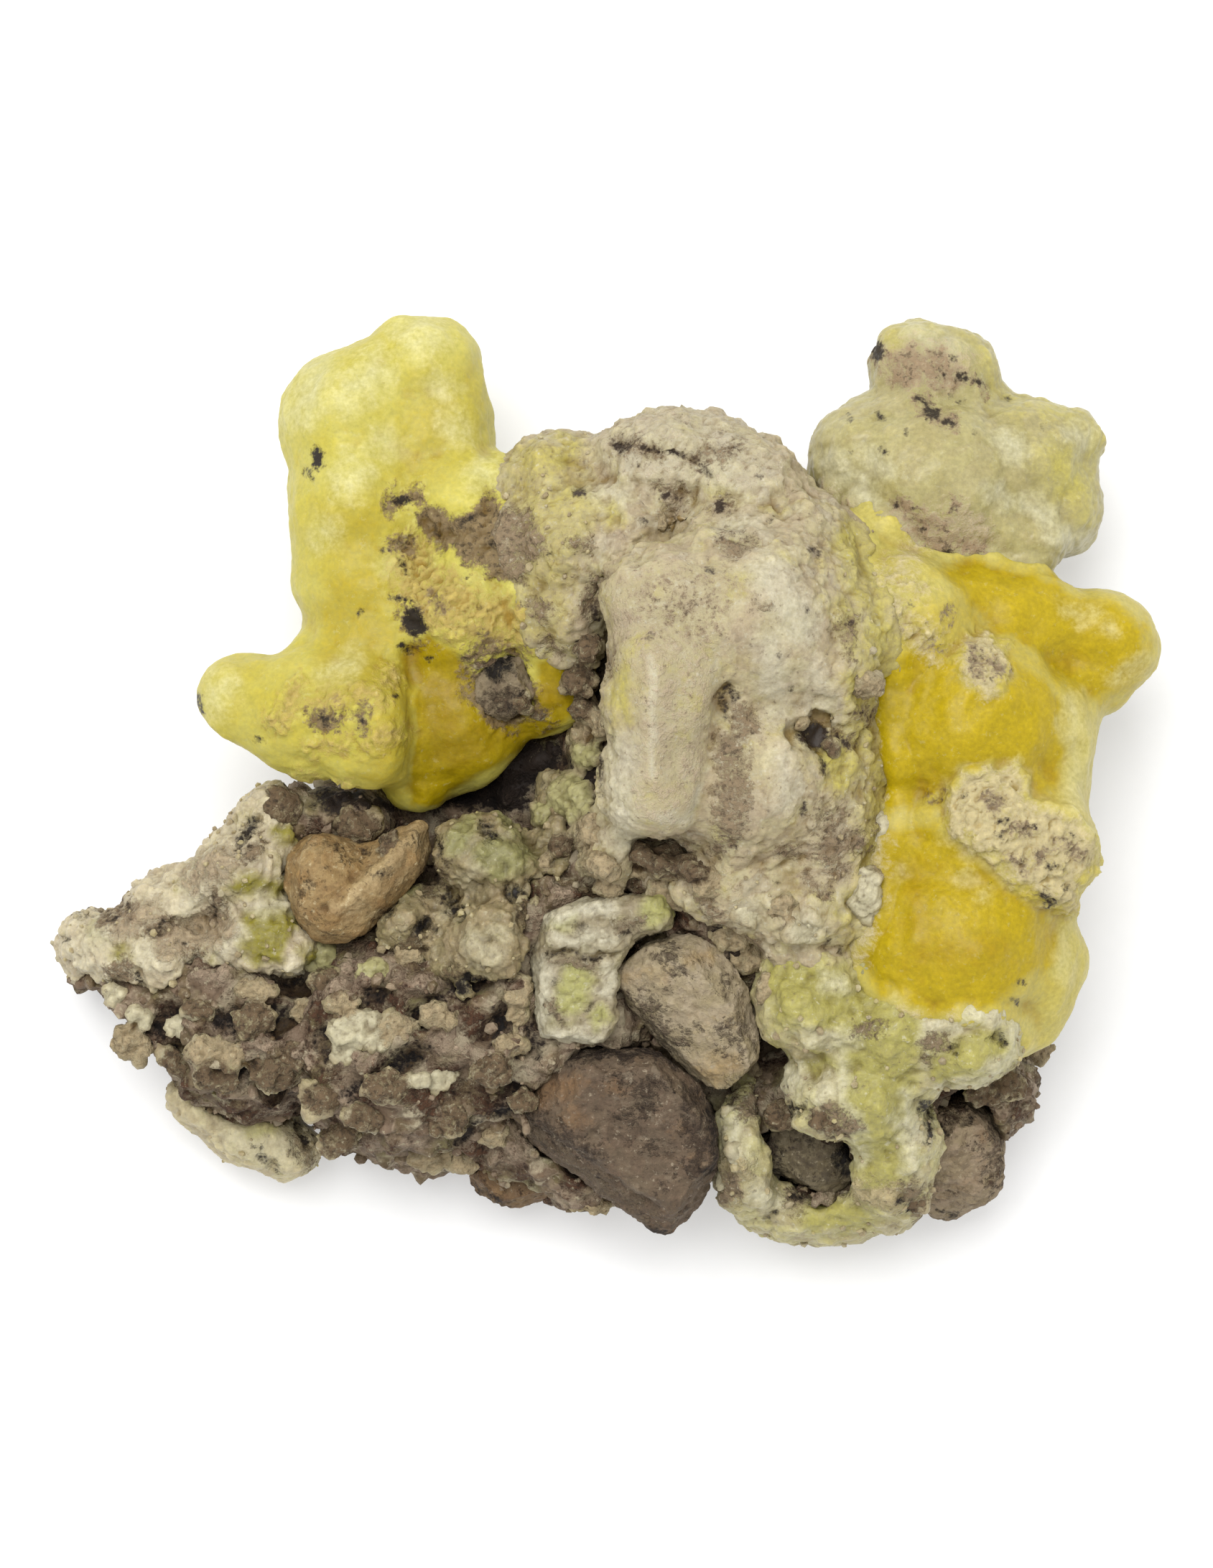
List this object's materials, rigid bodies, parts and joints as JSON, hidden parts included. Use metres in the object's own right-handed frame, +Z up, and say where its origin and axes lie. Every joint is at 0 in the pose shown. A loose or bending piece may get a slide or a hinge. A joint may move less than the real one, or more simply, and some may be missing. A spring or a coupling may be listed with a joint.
{
  "type": "mineral specimen",
  "caption": "Hand-sized mineral specimen: lobed yellow brucite with cream and pale green crusts on a crumbly brown breccia, lying on its flat broken back.",
  "frame": {"origin": "middle of the bounding box, on the surface that the specimen lies on", "axes": "+X towards the far knob, along the specimen's longest side; +Y towards the tip of the horn; +Z up, out of the surface that it lies on"},
  "size_m": [0.0794, 0.067, 0.035],
  "materials": {
    "yellow_brucite": "waxy, slightly translucent, uneven",
    "pale_brucite": "cloudy, waxy",
    "cream_crust": "matt, pitted, chalky crust",
    "green_crust": "grainy, sugary crust",
    "olive_crust": "grainy crust with dark pores",
    "breccia": "rough, crumbly",
    "tan_stone": "rounded, dull",
    "grey_stone": "flat, fine-grained, dull",
    "dark_stone": "angular, fine-grained, dull"
  },
  "bodies": {
    "root": {"left_brucite": "yellow_brucite", "right_brucite": "yellow_brucite", "pale_brucite": "pale_brucite", "cream_crust": "cream_crust", "green_crust": "green_crust", "middle_crust": "olive_crust", "wing_crust": "cream_crust", "tongue": "green_crust", "matrix": "breccia", "brown_block": "dark_stone", "grey_slab": "grey_stone", "pale_block": "cream_crust", "round_pebble": "tan_stone", "corner_stone": "dark_stone", "dark_stone": "dark_stone", "under_stone": "dark_stone", "grey_inclusion": "dark_stone"}
  },
  "joints": []
}
